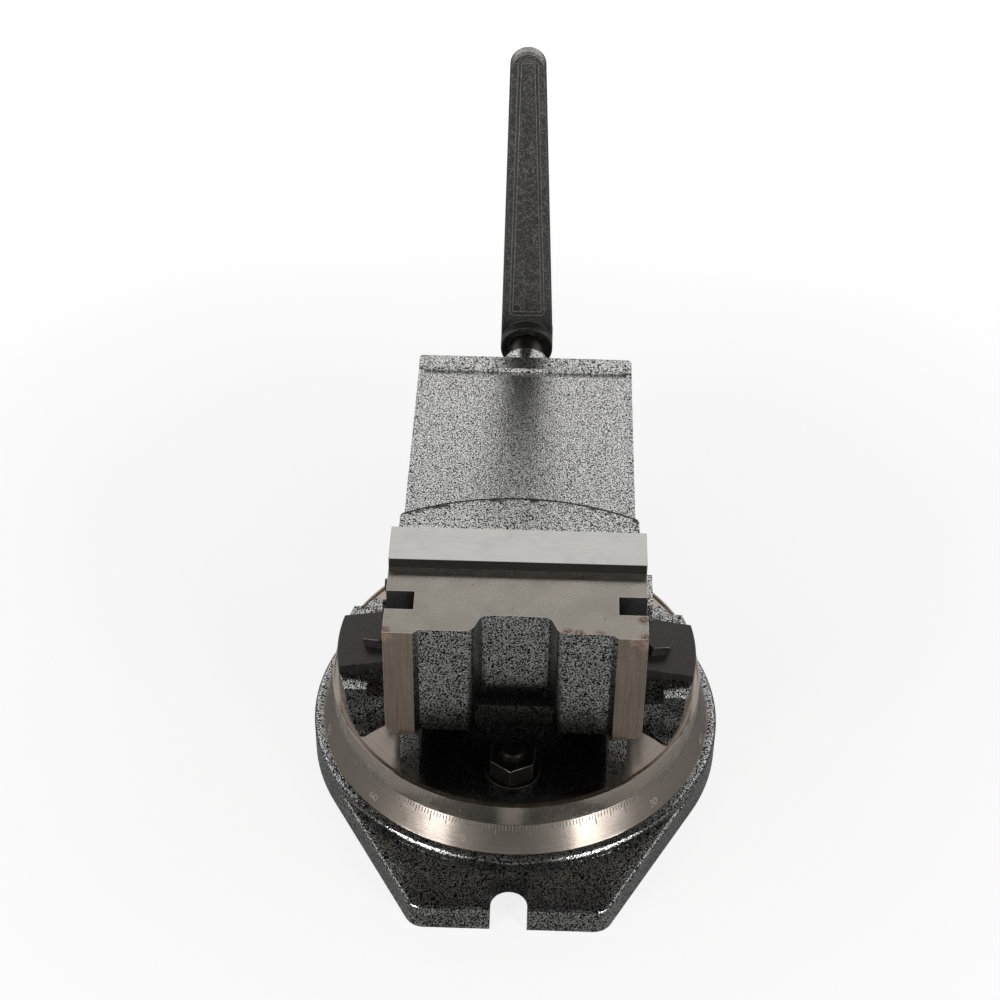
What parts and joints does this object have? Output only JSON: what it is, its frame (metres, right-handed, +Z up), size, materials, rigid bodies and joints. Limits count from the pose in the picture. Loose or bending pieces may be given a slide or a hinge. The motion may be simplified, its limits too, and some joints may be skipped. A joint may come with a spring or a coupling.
{
  "type": "swivel machine vise",
  "caption": "Machine vise on a graduated swivel base, with a fixed jaw, a long hooded moving jaw on a screw, clamp straps and a flat crank handle.",
  "frame": {"origin": "on the swivel axis, at the flat underside of the base", "axes": "+Z up along the swivel axis; +Y from the fixed jaw towards the crank handle, along the jaw's travel; +X along the jaws, to the right when the fixed jaw faces the viewer"},
  "size_m": [0.169, 0.2746, 0.2378],
  "materials": {
    "hammertone_casting": "cast iron in black and silver hammertone paint, machined faces bare",
    "ground_steel": "surface-ground steel",
    "plain_steel": "turned or milled bright steel",
    "black_oxide_steel": "black oxide",
    "bronze": "machined bronze",
    "black_casting": "satin black paint on a casting"
  },
  "bodies": {
    "base": {"base_casting": "hammertone_casting"},
    "swivel": {"swivel_table": "hammertone_casting", "vise_body": "hammertone_casting", "fixed_jaw_plate": "ground_steel", "fixed_plate_screws": "black_oxide_steel", "feed_nut": "bronze", "feed_nut_screws": "black_oxide_steel", "clamp_strap_left": "black_oxide_steel", "clamp_strap_right": "black_oxide_steel", "clamp_strap_bolts": "black_oxide_steel", "swivel_bolts": "black_oxide_steel", "swivel_washers": "black_oxide_steel"},
    "front_nut": {"swivel_nut_front": "black_oxide_steel"},
    "rear_nut": {"swivel_nut_rear": "black_oxide_steel"},
    "jaw": {"moving_jaw": "hammertone_casting", "moving_jaw_plate": "ground_steel", "moving_plate_screws": "black_oxide_steel", "keeper_left": "plain_steel", "keeper_right": "plain_steel", "keeper_screws": "black_oxide_steel", "gib_strip": "plain_steel", "gib_screws": "black_oxide_steel"},
    "screw": {"lead_screw": "plain_steel", "thrust_washer": "plain_steel", "shaft_collar": "plain_steel", "collar_setscrew": "black_oxide_steel", "crank_handle": "black_casting", "handle_pin": "black_oxide_steel"}
  },
  "joints": [
    {"name": "swivel_turn", "type": "hinge", "parent": "base", "child": "swivel", "pos_m": [0, 0, 0.028], "axis": [0, 0, 1], "continuous": true},
    {"name": "jaw_slide", "type": "slide", "parent": "swivel", "child": "jaw", "axis": [0, 1, 0], "range_m": [0, 0.08]},
    {"name": "screw_turn", "type": "hinge", "parent": "jaw", "child": "screw", "pos_m": [0, 0.12, 0.0913], "axis": [0, 1, 0], "range_deg": [0, 7200]},
    {"name": "front_nut_turn", "type": "hinge", "parent": "swivel", "child": "front_nut", "pos_m": [0, -0.0555, 0.0385], "axis": [0, 0, 1], "range_deg": [0, 360]},
    {"name": "rear_nut_turn", "type": "hinge", "parent": "swivel", "child": "rear_nut", "pos_m": [0, 0.0555, 0.0385], "axis": [0, 0, 1], "range_deg": [0, 360]}
  ],
  "couplings": [
    {"joint": "jaw_slide", "follows": "screw_turn", "m_per_rad": 0.00063661}
  ]
}
